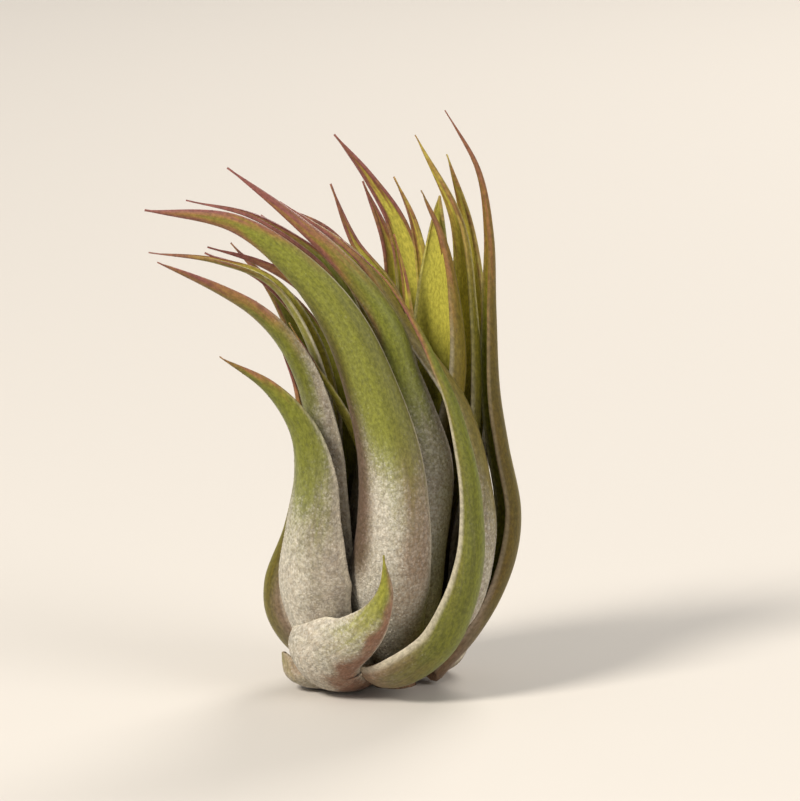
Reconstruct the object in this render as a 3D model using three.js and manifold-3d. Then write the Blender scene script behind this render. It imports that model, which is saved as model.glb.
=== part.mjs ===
// An air plant: a small silver-leaved bromeliad that grows without soil or pot.
// Its channelled leaves spring from one short stem, swell into a loose bulb and then sweep up,
// most of them to the left, with a tuft of younger, more upright leaves at the back right.
// It stands by itself on the stem's flat dry end and the undersides of its lowest leaves.
//
// Millimetres, +Z up. The origin is the middle of the stem's flat end, on the surface that the
// plant stands on. +X is to the right and +Y away from someone who looks at its front.

import * as THREE from "three";
import { mergeVertices } from "three/addons/utils/BufferGeometryUtils.js";
import Module from "manifold-3d";

const wasm = await Module();
wasm.setup();

// ---------------------------------------------------------------- driving dimensions
const GAP = 0.3; // clearance between neighbouring pieces
const STEM_RADIUS = 3.4;
const STEM_FOOT_RADIUS = 3.1; // the dry end that it stands on
const STEM_HEIGHT = 18;
const BLADE_THICKNESS = 1.15; // at the midrib
const BLADE_WIDTH = 8; // from this width on, a leaf has its full thickness
const MARGIN_THICKNESS = 0.62;
const MOST_DEPTH = 0.8; // the largest share of its own curve's radius that a leaf is thick
const TIP_WIDTH = 1;
const TIP_THICKNESS = 0.7;
const TIP_FOLD = 80; // degrees of arc: a tip is nearly flat
const LEAF_SECTIONS = 15;
const ARC_POINTS = 5; // across the leaf, on each face

// The whorls, from the outside in: how far the belly of a leaf stands from the stem's axis, how
// high that belly is, how high on the stem the leaf grows, the leaf's full width and its colour,
// from the silvery dry leaves at the base to the yellow-green ones in the middle.
const WHORLS = {
  basal: { girth: 12, belly: 3, root: 1.6, width: 9, colour: 0xb5a58c },
  outer: { girth: 14.6, belly: 19, root: 3.4, width: 9.6, colour: 0x99926a },
  second: { girth: 10.2, belly: 20, root: 7.4, width: 7.6, colour: 0x8d8746 },
  third: { girth: 6.6, belly: 22, root: 12, width: 6, colour: 0x9f933f },
  heart: { girth: 3.2, belly: 25, root: 16, width: 4.4, colour: 0xb0a55c },
};

// Leaves. azimuth is the side of the stem that the leaf grows on, in degrees from +X, and blade is
// the line that the outside of its midrib follows above the belly, up to the tip. A leaf may also
// state its own whorl values, and fold (how far it is rolled, in degrees of arc), full (the share
// of its length where it is widest) and taper (how it narrows from there: under 1 is convex).
// The order is the order of cutting: a leaf makes way for those above it here.
const LEAVES = [
  { name: "basal_leaf_front", whorl: "basal", azimuth: -152, width: 12.4, root: 1.4, fold: 130,
    full: 0.42, taper: 1.15, sheath: [[-5.6, -3.8, 0.1], [-9.8, -7.2, 1.2], [-11, -10.2, 4]],
    blade: [[-9.2, -12.8, 6.6], [-5.8, -14.8, 9], [-2.8, -15.8, 12.4], [-1.2, -16.1, 16.4],
      [-1.4, -16.1, 21.6]] },
  { name: "basal_leaf_left", whorl: "basal", azimuth: -168, width: 8.6, fold: 165, full: 0.6,
    taper: 0.5, sheath: [[-6, -1.4, 0.6], [-11, -3, 0.2]],
    blade: [[-14.4, -4.2, 1.9], [-15.2, -5, 5.6]] },
  { name: "basal_leaf_back_left", whorl: "basal", azimuth: 122, width: 10, fold: 110, full: 0.4,
    sheath: [[-3.3, 5.2, 0.3], [-5.2, 8.3, 0.1], [-6.8, 10.8, 2.6]],
    blade: [[-8.3, 12.6, 8.1], [-9.3, 13.6, 15.2], [-10.9, 13.6, 21.2], [-13.5, 13, 26.2]] },
  { name: "basal_leaf_back_right", whorl: "basal", azimuth: 54, width: 10.5, fold: 110, full: 0.4,
    sheath: [[3.7, 4.8, 0.3], [6, 7.7, 0.1], [7.4, 10.4, 2.6]],
    blade: [[7.3, 12.6, 8.1], [7.1, 14, 15.2], [5.3, 14.8, 22.3], [2, 15, 28.3],
      [-1.6, 14.6, 32.3]] },
  { name: "outer_leaf_front", whorl: "outer", azimuth: -92, width: 12.2, neck: 0.7, full: 0.2,
    sheath: [[-0.8, -5, 3.4], [-1.9, -8, 6.9], [-2.3, -11.2, 11.8], [-1.5, -13.4, 17.7]],
    blade: [[-0.9, -14.2, 24.5], [-1.1, -13.6, 32.2], [-3.1, -12.5, 41.2], [-7.4, -11.5, 51.9],
      [-13.8, -10.4, 59.9], [-21.3, -9, 65], [-33.2, -7, 66.6]] },
  { name: "outer_leaf_front_left", whorl: "outer", azimuth: -148, width: 13.8, fold: 165, full: 0.42,
    neck: 0.4, taper: 0.95, sheath: [[-6.6, -4.2, 1.6], [-11.4, -7.1, 6.2], [-14.4, -9.2, 14.5]],
    blade: [[-13.6, -9.8, 23.8], [-12.7, -9.4, 30.6], [-13.4, -9.4, 36.5], [-17, -9.5, 42.4],
      [-23.3, -9.5, 47.2]] },
  { name: "outer_leaf_front_right", whorl: "outer", azimuth: -92, width: 13, neck: 0.7, full: 0.12,
    taper: 1.4,
    sheath: [[0.3, -6.2, 1.5], [3.5, -8.9, 2.8], [8.1, -10, 7], [11, -10, 13.6], [12.1, -9.5, 20]],
    blade: [[12, -8.9, 25], [11.5, -8.8, 29.8], [10.2, -8.6, 35.5], [8.4, -8.2, 41.1],
      [5.9, -7.4, 46.2], [3.3, -6.4, 50.9], [-0.6, -4.8, 56.4], [-7.1, -3.4, 62.2]] },
  { name: "outer_leaf_right", whorl: "outer", azimuth: 8, width: 7.8, full: 0.3,
    sheath: [[5.4, 0.4, 0.3], [8, 0.7, 2.7], [11.3, 1.2, 6.5], [14.6, 1.9, 12], [16.7, 2.4, 18]],
    blade: [[17.2, 2.8, 23.9], [15.5, 3, 32.8], [14.3, 3, 40.6], [13.8, 3, 51.4], [13.4, 3, 62],
      [11.6, 3, 70.7], [6.9, 3, 78.6]] },
  { name: "outer_leaf_back_right", whorl: "outer", azimuth: 42, width: 10.6, full: 0.36,
    blade: [[11.8, 10, 30.1], [12.4, 9.5, 41], [11.9, 9.5, 51.8], [10.3, 9.5, 62.5],
      [7.2, 9.5, 71.6]] },
  { name: "outer_leaf_back", whorl: "outer", azimuth: 78, full: 0.34,
    blade: [[4, 13, 31.2], [4.2, 10.5, 42], [3.2, 9, 51.7], [0.8, 9, 61.9], [-3.4, 9, 68.7],
      [-8.1, 9, 74.4]] },
  { name: "outer_leaf_back_left", whorl: "outer", azimuth: 112,
    blade: [[-4.4, 14, 30.3], [-3, 13.4, 38.2], [-0.4, 12.6, 47.1], [-0.8, 12, 57.8],
      [-4.3, 12, 67.5]] },
  { name: "outer_leaf_left_back", whorl: "outer", azimuth: 147,
    blade: [[-12, 9.4, 28.1], [-12, 9.6, 37], [-14, 9.4, 45.9], [-17.5, 8.4, 53.7], [-22.2, 7, 59.8]] },
  { name: "outer_leaf_left", whorl: "outer", azimuth: 175, width: 9,
    sheath: [[-8.6, 1.2, 2.4], [-13.8, 1.4, 4.2], [-17.3, 1.6, 9]],
    blade: [[-17.7, 2, 14], [-14.9, 2.4, 21.9], [-13.3, 3, 30.8], [-13.5, 3.4, 39.7], [-15.2, 3.4, 45.5]] },
  { name: "second_leaf_left", whorl: "second", azimuth: -152, girth: 10.8, width: 7.6, full: 0.46,
    taper: 0.75, blade: [[-10.4, -6, 27.3], [-11.2, -6, 36], [-12.9, -5.6, 43], [-15.6, -5.4, 48.3],
      [-19, -5.2, 52], [-23.4, -5, 54.9], [-31.7, -4.6, 59.1]] },
  { name: "second_leaf_front", whorl: "second", azimuth: -58, girth: 9.6, width: 8,
    blade: [[6.3, -7.4, 31.4], [4.1, -7.6, 39.1], [2, -7.6, 44.8], [0.4, -7.6, 50],
      [-2.2, -7.4, 54.5], [-7.8, -7, 61], [-14.8, -6.2, 66.8], [-22.2, -5.4, 72.1]] },
  { name: "second_leaf_right", whorl: "second", azimuth: -8, girth: 13.9, width: 8.4,
    blade: [[13.3, -2.2, 27.4], [10, -2, 39.4], [2.4, -1.6, 50.1], [-4.3, -0.6, 59.4],
      [-15.3, 0.6, 66.6]] },
  { name: "second_leaf_right_back", whorl: "second", azimuth: 30, width: 8.6, full: 0.44,
    blade: [[10.6, 6.4, 30], [11.4, 6.8, 40], [10.9, 6.5, 51.6], [9.2, 6, 63.2], [2.9, 6, 74.8]] },
  { name: "second_leaf_back_right", whorl: "second", azimuth: 62,
    blade: [[6.4, 9, 30.1], [6.2, 7.4, 41.8], [4.8, 6.6, 53.5], [2.8, 6.4, 63], [0, 6.5, 69]] },
  { name: "second_leaf_back", whorl: "second", azimuth: 98,
    blade: [[-1, 9.6, 31.1], [-1.6, 8.6, 41.9], [-4, 7.6, 53.6], [-8.9, 6.8, 61.3],
      [-15.4, 6, 65.1]] },
  { name: "second_leaf_back_left", whorl: "second", azimuth: 132,
    blade: [[-7, 6.4, 30], [-8.2, 5.4, 38.8], [-11.9, 4.6, 48.5], [-17.8, 3.8, 55.3],
      [-25.6, 3, 59.1]] },
  { name: "second_leaf_left_back", whorl: "second", azimuth: 170,
    blade: [[-9.9, 0.4, 29.7], [-9.7, -0.6, 37.5], [-11.8, -0.8, 47.3], [-16.7, -0.6, 55.2],
      [-23.6, -0.5, 58.2], [-33, -0.5, 59.7]] },
  { name: "third_leaf_front_left", whorl: "third", azimuth: -118,
    blade: [[-3.3, -5.4, 31.5], [-4.9, -4.4, 42.2], [-7.8, -4, 50], [-12.7, -4, 55.6],
      [-18.6, -3.7, 59], [-25, -3.5, 61]] },
  { name: "third_leaf_front_right", whorl: "third", azimuth: -40,
    blade: [[4.3, -3, 32.6], [1.6, -1.4, 43.3], [-3.5, -0.2, 52.1], [-10.4, 0.5, 59.7],
      [-17.9, 1.5, 64.6]] },
  { name: "third_leaf_right", whorl: "third", azimuth: 8, width: 8.4, full: 0.5,
    blade: [[7.7, 1.4, 31.7], [9.7, 2, 42.5], [8.9, 2, 53.2], [7, 2, 61.3], [3.7, 2, 67.9]] },
  { name: "third_leaf_back_right", whorl: "third", azimuth: 60, width: 10.4, full: 0.5,
    taper: 0.7, fold: 110, blade: [[5, 4.6, 32.8], [6.2, 4, 43.6], [6.2, 4, 53.4], [6.2, 4, 66.8]] },
  { name: "third_leaf_back", whorl: "third", azimuth: 110,
    blade: [[-0.4, 5, 32.9], [1, 4.2, 42.7], [-0.4, 4, 52.8], [-5.5, 4, 60.5], [-8.6, 4, 68.4]] },
  { name: "third_leaf_left", whorl: "third", azimuth: 160,
    blade: [[-4.8, 1.6, 32.7], [-5, 0.2, 42.5], [-6.2, -2, 51], [-9, -3.2, 57.6], [-14.1, -4, 62.2],
      [-19.6, -4.4, 65.4], [-27.8, -4, 67.4]] },
  { name: "heart_leaf_left", whorl: "heart", azimuth: -160,
    blade: [[-5.3, -2.4, 33.6], [-8.3, -4.4, 40.5], [-10.8, -5.8, 45.1], [-14.1, -6.8, 51.3]] },
  { name: "heart_leaf_front", whorl: "heart", azimuth: -60,
    blade: [[1, -1.4, 34.6], [-1, 0.6, 44.4], [-4.9, 1.6, 52.2], [-10.8, 2.4, 58.1]] },
  { name: "heart_leaf_back", whorl: "heart", azimuth: 70,
    blade: [[1.4, 1.6, 34.7], [2.4, 2, 44.5], [1.6, 2, 55.2], [0, 2, 61.9]] },
];

// ---------------------------------------------------------------- helpers
const degrees = THREE.MathUtils.degToRad;
const lerp = THREE.MathUtils.lerp;

// A closed three.js geometry as a manifold-3d solid.
function solidOf(geometry) {
  const bare = new THREE.BufferGeometry();
  bare.setAttribute("position", geometry.getAttribute("position"));
  if (geometry.index) bare.setIndex(geometry.index);
  const merged = mergeVertices(bare, 1e-3);
  return new wasm.Manifold(
    new wasm.Mesh({
      numProp: 3,
      vertProperties: merged.attributes.position.array,
      triVerts: new Uint32Array(merged.index.array),
    }),
  );
}

// A manifold-3d solid as a three.js geometry.
function geometryOf(solid) {
  const mesh = solid.getMesh();
  const geometry = new THREE.BufferGeometry();
  geometry.setAttribute("position", new THREE.BufferAttribute(mesh.vertProperties, 3));
  geometry.setIndex(new THREE.BufferAttribute(mesh.triVerts, 1));
  geometry.computeVertexNormals();
  return geometry;
}

// The largest of a solid's separate bodies: a scrap that a cut leaves loose is dropped.
function largestBody(solid) {
  const bodies = solidOf(geometryOf(solid)).decompose();
  return bodies.reduce((most, body) => (body.volume() > most.volume() ? body : most));
}

// ---------------------------------------------------------------- leaf
function withDefaults(leaf) {
  return { fold: 155, neck: 0.5, full: 0.24, taper: 0.85, ...WHORLS[leaf.whorl], ...leaf };
}

// The line of the midrib's outer face: out of the stem, along the underside, up round the belly
// and on to the tip. A leaf that leans aside from the start lists the points of its own sheath.
function ribOf({ azimuth, girth, belly, root, sheath, blade }) {
  const turn = degrees(azimuth);
  const inner = Math.min(STEM_RADIUS - 0.8, 0.3 * girth);
  const at = (reach, height) => {
    const radius = lerp(inner, girth, reach);
    return [radius * Math.cos(turn), radius * Math.sin(turn), height];
  };
  const round = [at(0.35, root - 0.11 * girth), at(0.76, lerp(root, belly, 0.18)), at(1, belly)];
  const points = [at(0, root), ...(sheath ?? round), ...blade].map((p) => new THREE.Vector3(...p));
  return new THREE.CatmullRomCurve3(points, false, "centripetal");
}

// How wide the leaf is at a share of its length, from 0 to 1: narrow where it leaves the stem,
// full at the sheath, then tapering to a fine tip.
function widthAt(share, { width, neck, full, taper }) {
  const sheath = neck + (1 - neck) * Math.sin(Math.min(1, share / full) * Math.PI * 0.5);
  const blade = Math.pow(1 - Math.max(0, share - full) / (1 - full), taper);
  return Math.max(TIP_WIDTH, width * sheath * blade);
}

// The closed mesh of one leaf, grown by some millimetres on every side.
function leafGeometry(leaf, grow = 0) {
  const rib = ribOf(leaf);
  rib.arcLengthDivisions = 400;
  const side = ARC_POINTS * 2;
  const positions = [];
  let outward = new THREE.Vector3(0, 0, -1);
  const fine = 8; // steps of the turning frame for each section
  for (let i = 0; i <= (LEAF_SECTIONS - 1) * fine; i++) {
    const share = i / ((LEAF_SECTIONS - 1) * fine);
    const along = rib.getTangentAt(share);
    outward = outward.clone().addScaledVector(along, -outward.dot(along)).normalize();
    if (i % fine) continue;
    const across = new THREE.Vector3().crossVectors(along, outward);
    const point = rib.getPointAt(share);
    if (grow && share === 0) point.addScaledVector(along, -grow);
    if (grow && share === 1) point.addScaledVector(along, grow);
    const chord = widthAt(share, leaf);
    const halfArc = degrees(lerp(leaf.fold, TIP_FOLD, share ** 4)) / 2;
    const radius = chord / (2 * Math.sin(halfArc));
    const midrib = lerp(TIP_THICKNESS, BLADE_THICKNESS, Math.min(1, chord / BLADE_WIDTH));
    for (let j = 0; j < side; j++) {
      const outer = j < ARC_POINTS;
      const step = outer ? j : side - 1 - j;
      const a = (2 * step) / (ARC_POINTS - 1) - 1;
      const wall = lerp(midrib, MARGIN_THICKNESS, a * a);
      const depth = Math.min(wall, MOST_DEPTH * radius);
      const least = (1 - MOST_DEPTH) * 0.5 * radius;
      const reach = outer ? radius + grow : Math.max(least, radius - depth - grow);
      const angle = a * (halfArc + grow / radius);
      positions.push(
        ...point
          .clone()
          .addScaledVector(outward, reach * Math.cos(angle) - radius)
          .addScaledVector(across, reach * Math.sin(angle))
          .toArray(),
      );
    }
  }
  const faces = [];
  const quad = (a, b, c, d) => faces.push(a, b, c, a, c, d);
  for (let i = 0; i < LEAF_SECTIONS - 1; i++)
    for (let j = 0; j < side; j++) {
      const k = (j + 1) % side;
      const [a, b, c, d] = [i * side + j, i * side + k, (i + 1) * side + k, (i + 1) * side + j];
      if (j < ARC_POINTS) quad(a, b, c, d);
      else quad(b, c, d, a);
    }
  const last = (LEAF_SECTIONS - 1) * side;
  for (let j = 0; j < ARC_POINTS - 1; j++) {
    const k = side - 1 - j;
    quad(j, k, k - 1, j + 1);
    quad(last + j, last + j + 1, last + k - 1, last + k);
  }
  const geometry = new THREE.BufferGeometry();
  geometry.setAttribute("position", new THREE.BufferAttribute(new Float32Array(positions), 3));
  geometry.setIndex(faces);
  return geometry;
}

// ---------------------------------------------------------------- the plant
const FLOOR_WIDTH = 200;
const FLOOR_DEPTH = 40;
const FLOOR = solidOf(
  new THREE.BoxGeometry(FLOOR_WIDTH, FLOOR_WIDTH, FLOOR_DEPTH).translate(0, 0, -FLOOR_DEPTH / 2),
);
const STEM_SIDES = 20;

function stemSolid(grow = 0) {
  const profile = [
    [0, -grow],
    [STEM_FOOT_RADIUS + grow, -grow],
    [STEM_FOOT_RADIUS + grow, 0.9],
    [STEM_RADIUS + grow, 1.8],
    [STEM_RADIUS + grow, 0.45 * STEM_HEIGHT],
    [0.3 * STEM_RADIUS + grow, STEM_HEIGHT + grow],
    [0, STEM_HEIGHT + grow],
  ].map(([radius, height]) => new THREE.Vector2(radius, height));
  return solidOf(new THREE.LatheGeometry(profile, STEM_SIDES).rotateX(Math.PI / 2));
}

const plant = new THREE.Group();

function addPiece(name, solid, colour, roughness) {
  const material = new THREE.MeshStandardMaterial({ color: colour, roughness, metalness: 0 });
  const mesh = new THREE.Mesh(geometryOf(solid), material);
  mesh.name = name;
  plant.add(mesh);
}

addPiece("stem", stemSolid(), 0x7a5a3c, 0.9);

const placed = [stemSolid(GAP)];
for (const leaf of LEAVES.map(withDefaults)) {
  let solid = solidOf(leafGeometry(leaf)).subtract(FLOOR);
  for (const other of placed) solid = solid.subtract(other);
  addPiece(leaf.name, largestBody(solid), leaf.colour, 0.75);
  placed.push(solidOf(leafGeometry(leaf, GAP)).add(solidOf(leafGeometry(leaf))));
}

export default plant;
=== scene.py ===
"""An air plant, finished: channelled leaves with rounded margins, a coat of silvery trichome
scales that thins out towards the blades, and a dry fibrous stem end.

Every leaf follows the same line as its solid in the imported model. Sizes are in millimetres in
the tables below and become metres in the meshes. +Z is up, +X is to the plant's right and +Y is
towards its back; the origin is the middle of the stem's flat end.
"""
import math

import bpy
import numpy as np
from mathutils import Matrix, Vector, noise


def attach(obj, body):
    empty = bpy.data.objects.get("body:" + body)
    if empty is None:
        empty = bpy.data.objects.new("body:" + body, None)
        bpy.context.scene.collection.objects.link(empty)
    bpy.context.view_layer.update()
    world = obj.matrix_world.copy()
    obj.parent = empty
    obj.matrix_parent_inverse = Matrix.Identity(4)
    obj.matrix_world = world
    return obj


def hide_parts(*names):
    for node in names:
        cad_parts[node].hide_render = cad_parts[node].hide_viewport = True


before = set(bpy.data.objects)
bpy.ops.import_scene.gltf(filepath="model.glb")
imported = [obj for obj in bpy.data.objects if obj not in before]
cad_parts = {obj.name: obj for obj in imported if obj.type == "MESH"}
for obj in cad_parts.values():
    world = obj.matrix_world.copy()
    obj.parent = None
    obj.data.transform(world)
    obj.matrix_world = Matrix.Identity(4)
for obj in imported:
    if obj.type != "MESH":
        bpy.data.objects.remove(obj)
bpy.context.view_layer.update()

MM = 0.001

# ------------------------------------------------------------------ growth of the plant
STEM_RADIUS = 3.4
STEM_FOOT_RADIUS = 3.1
STEM_FOOT_HEIGHT = 1.4  # over which the foot widens to the stem
STEM_TOP_RADIUS = 0.3 * STEM_RADIUS  # what the stem narrows towards
STEM_NARROWS = (0.4, 1.1)  # between which shares of its height
STEM_HEIGHT = 18
STEM_RINGS, STEM_SIDES = 72, 72
STEM_INSET = 0.15  # so that its fibres hardly pass its radius
STEM_FIBRES = 0.22  # how far they stand out or lie back
STEM_NOISE_RADIUS, STEM_NOISE_PER_MM = 4, 0.5  # the stem's size in the noise that makes them
SCAR_DEPTH = 0.16  # between the rings that old leaves have left
SCAR_WAVE = 2.2  # in radians a mm, which makes a ring every 1.4 mm
ROOT_DEPTH = 0.8  # how deep a leaf starts in the stem, or less where its girth is small
BLADE_THICKNESS = 1.1  # at the midrib
BLADE_WIDTH = 8  # from this width on, a leaf has its full thickness
MARGIN_THICKNESS = 0.42
TIP_WIDTH = 0.34
TIP_THICKNESS = 0.3
TIP_FOLD = 120  # degrees of arc: a tip is a fine channel
TIP_FOLD_POWER = 4  # how late along a leaf its fold turns into the tip's
SECTIONS = 96  # along a leaf
ACROSS = 27  # points across a leaf, on each face
ROUND_FROM = 0.93  # share of the half width where the margin starts to round over
CURL_FROM = 0.75  # share of the half width where the margin starts to curl in
CURL = 0.05  # how far it curls in, as a share of the section's radius
FOLD_WAVER = 0.05  # how much the fold wavers along a margin, as a share of it
GROUND_GAP = 0.02  # between the lowest leaves and the ground
SCALE_RADIUS = 0.12  # of a trichome's shield
SCALE_HEIGHT = 0.05
SCALE_SIDES = 5
SCALE_SIZES = (0.6, 1.3)  # from the smallest to the largest, as shares of that
SCALE_TILT = 0.3  # in radians, at most
SCALES_PER_MM2 = 6.0  # where the scurf is full
SCALES_THIN_OUT = 1.6  # the power of the scurf that their number follows
BAKE_MAP = "OFBake"
BAKE_WIDTH = 24  # what the map's sides stand for on a leaf: both faces across, and its length
BAKE_LENGTH = 80
END_SIZE = 0.002  # of a leaf's ends on that map
SIDES_APART, LEAVES_APART = 3.1, 7.3  # in the noise that makes each margin waver in its own way
PATTERNS_APART = 31.0  # in mm: so far from the next leaf's a leaf's pattern lies
LOOKS = ("across", "inner", "tint", "green", "tip", "brown", "scurf", "dusk", "rim")

# girth: how far a leaf's belly stands from the stem's axis; belly: how high that is;
# root: how high on the stem the leaf grows; width: its full width.
WHORLS = {
    "basal": dict(slot="basal_leaf", girth=12, belly=3, root=1.6, width=9,
                  green_from=15, silver=0.8, pale=0.4),
    "outer": dict(slot="outer_leaf", girth=14.6, belly=19, root=3.4, width=9.6,
                  green_from=27, silver=0.8, pale=0.4),
    "second": dict(slot="inner_leaf", girth=10.2, belly=20, root=7.4, width=7.6,
                   green_from=20, silver=0.7, pale=0.4),
    "third": dict(slot="inner_leaf", girth=6.6, belly=22, root=12, width=6,
                  green_from=12, silver=0.5, pale=0.2),
    "heart": dict(slot="inner_leaf", girth=3.2, belly=25, root=16, width=4.4,
                  green_from=6, silver=0.4, pale=0.2),
}
# The shape. fold: how far the leaf is rolled, in degrees of arc; full: the share of its length
# where it is widest; taper: how it narrows from there; neck: its width at the stem, as a share;
# sheath: the line of its midrib up to the belly, where that isn't the usual one.
# The finish. silver: how thickly scurf covers the sheath; pale: the same for the blade's edges.
# green_from: where the sheath turns green, in mm along the leaf. tint: the blade's colour, from -1
# for bronze over 0 for olive to 1 for lime; painted_glow: how much more lime the inner face is, as
# painted light shining through the thin blade. brown: how dry and brown the foot and the edges of
# the sheath are. blush: how red the tip is, from red_from on, a share of the leaf's length. lean:
# how many mm lower the green starts on the right side, and higher on the left. stain: how brown a
# streak
# runs up the right side. dusk: how much painted shade darkens the left and the right flank
# and thins their scurf, from dusk_from on, in mm.
USUAL = dict(fold=155, neck=0.5, full=0.24, taper=0.85, sheath=None,
             tint=0.0, painted_glow=0.35, brown=0.3, blush=0.8, red_from=0.7, lean=0, stain=0,
             dusk=(0.1, 0.2), dusk_from=-4)

LEAVES = {}


def leaf(name, whorl, azimuth, blade, **own):
    """Notes one leaf: azimuth is the side of the stem that it grows on, in degrees from +X, and
    blade is the line that the outside of its midrib follows above the belly, up to the tip."""
    LEAVES[name] = {**USUAL, **WHORLS[whorl], "azimuth": azimuth, "blade": blade, **own}


leaf("basal_leaf_front", "basal", -152, width=12.4, root=1.4, fold=130, full=0.42, taper=1.15,
     green_from=20, silver=0.95, tint=0.3, brown=0.8, blush=0.25, red_from=0.85, lean=-8, stain=0.9,
     dusk=(0, 0.3),
     sheath=[(-5.6, -3.8, 0.1), (-9.8, -7.2, 1.2), (-11, -10.2, 4)],
     blade=[(-9.2, -12.8, 6.6), (-5.8, -14.8, 9), (-2.8, -15.8, 12.4), (-1.2, -16.1, 16.4),
            (-1.4, -16.1, 21.6)])
leaf("basal_leaf_left", "basal", -168, width=8.6, fold=165, full=0.6, taper=0.5, green_from=14,
     silver=0.8, tint=0.2, brown=0.15, blush=0.2,
     sheath=[(-6, -1.4, 0.6), (-11, -3, 0.2)], blade=[(-14.4, -4.2, 1.9), (-15.2, -5, 5.6)])
leaf("basal_leaf_back_left", "basal", 122, width=10, fold=110, full=0.4,
     sheath=[(-3.3, 5.2, 0.3), (-5.2, 8.3, 0.1), (-6.8, 10.8, 2.6)],
     blade=[(-8.3, 12.6, 8.1), (-9.3, 13.6, 15.2), (-10.9, 13.6, 21.2), (-13.5, 13, 26.2)])
leaf("basal_leaf_back_right", "basal", 54, width=10.5, fold=110, full=0.4, silver=0.5, brown=0.7,
     sheath=[(3.7, 4.8, 0.3), (6, 7.7, 0.1), (7.4, 10.4, 2.6)],
     blade=[(7.3, 12.6, 8.1), (7.1, 14, 15.2), (5.3, 14.8, 22.3), (2, 15, 28.3),
            (-1.6, 14.6, 32.3)])
leaf("outer_leaf_front", "outer", -92, width=12.2, neck=0.7, full=0.2, green_from=28.5, lean=11,
     silver=1, stain=0.45, dusk=(1, 0.4), dusk_from=18, tint=0.15, brown=0.5, blush=1, red_from=0.7,
     sheath=[(-0.8, -5, 3.4), (-1.9, -8, 6.9), (-2.3, -11.2, 11.8), (-1.5, -13.4, 17.7)],
     blade=[(-0.9, -14.2, 24.5), (-1.1, -13.6, 32.2), (-3.1, -12.5, 41.2), (-7.4, -11.5, 51.9),
            (-13.8, -10.4, 59.9), (-21.3, -9, 65), (-33.2, -7, 66.6)])
# Its lean, which leaves it paler on the left and greener on the right, partly paints light falling
# from the left; the painted shade darkens its right flank.
leaf("outer_leaf_front_left", "outer", -148, width=13.8, fold=165, full=0.42, neck=0.4, taper=0.95,
     green_from=28.5, lean=6, silver=0.95, dusk=(0, 0.35), tint=0.05, blush=0.5, red_from=0.75,
     sheath=[(-6.6, -4.2, 1.6), (-11.4, -7.1, 6.2), (-14.4, -9.2, 14.5)],
     blade=[(-13.6, -9.8, 23.8), (-12.7, -9.4, 30.6), (-13.4, -9.4, 36.5), (-17, -9.5, 42.4),
            (-23.3, -9.5, 47.2)])
# Its brown foot is partly dry tissue and partly painted shade, where the leaves in front shadow its
# lower end.
leaf("outer_leaf_front_right", "outer", -92, width=13, neck=0.7, full=0.12, taper=1.4,
     green_from=1, lean=-8, silver=0.45, pale=0.4, tint=-0.05, brown=0.65, dusk=(0.25, 0.45),
     red_from=0.6,
     sheath=[(0.3, -6.2, 1.5), (3.5, -8.9, 2.8), (8.1, -10, 7), (11, -10, 13.6), (12.1, -9.5, 20)],
     blade=[(12, -8.9, 25), (11.5, -8.8, 29.8), (10.2, -8.6, 35.5), (8.4, -8.2, 41.1),
            (5.9, -7.4, 46.2), (3.3, -6.4, 50.9), (-0.6, -4.8, 56.4), (-7.1, -3.4, 62.2)])
leaf("outer_leaf_right", "outer", 8, width=7.8, full=0.3, green_from=6, silver=0.05, pale=0.05,
     tint=-0.5, brown=0.6, dusk=(0.6, 0.8), blush=0.5, red_from=0.5,
     sheath=[(5.4, 0.4, 0.3), (8, 0.7, 2.7), (11.3, 1.2, 6.5), (14.6, 1.9, 12), (16.7, 2.4, 18)],
     blade=[(17.2, 2.8, 23.9), (15.5, 3, 32.8), (14.3, 3, 40.6), (13.8, 3, 51.4), (13.4, 3, 62),
            (11.6, 3, 70.7), (6.9, 3, 78.6)])
leaf("outer_leaf_back_right", "outer", 42, width=10.6, full=0.36, pale=0.15, tint=0.5,
     blush=0.4, red_from=0.55,
     blade=[(11.8, 10, 30.1), (12.4, 9.5, 41), (11.9, 9.5, 51.8), (10.3, 9.5, 62.5),
            (7.2, 9.5, 71.6)])
leaf("outer_leaf_back", "outer", 78, full=0.34, pale=0.15, tint=0.4, blush=1, red_from=0.75,
     blade=[(4, 13, 31.2), (4.2, 10.5, 42), (3.2, 9, 51.7), (0.8, 9, 61.9), (-3.4, 9, 68.7),
            (-8.1, 9, 74.4)])
leaf("outer_leaf_back_left", "outer", 112, tint=0.4,
     blade=[(-4.4, 14, 30.3), (-3, 13.4, 38.2), (-0.4, 12.6, 47.1), (-0.8, 12, 57.8),
            (-4.3, 12, 67.5)])
leaf("outer_leaf_left_back", "outer", 147,
     blade=[(-12, 9.4, 28.1), (-12, 9.6, 37), (-14, 9.4, 45.9), (-17.5, 8.4, 53.7),
            (-22.2, 7, 59.8)])
leaf("outer_leaf_left", "outer", 175, width=9, green_from=9, silver=0.2, tint=-0.4, brown=0.7,
     dusk=(0.7, 0.6),
     sheath=[(-8.6, 1.2, 2.4), (-13.8, 1.4, 4.2), (-17.3, 1.6, 9)],
     blade=[(-17.7, 2, 14), (-14.9, 2.4, 21.9), (-13.3, 3, 30.8), (-13.5, 3.4, 39.7),
            (-15.2, 3.4, 45.5)])
leaf("second_leaf_left", "second", -152, girth=10.8, width=7.6, full=0.46, taper=0.75,
     green_from=30, pale=0.55, tint=-0.1, blush=0.85, red_from=0.58,
     blade=[(-10.4, -6, 27.3), (-11.2, -6, 36), (-12.9, -5.6, 43), (-15.6, -5.4, 48.3),
            (-19, -5.2, 52), (-23.4, -5, 54.9), (-31.7, -4.6, 59.1)])
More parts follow.
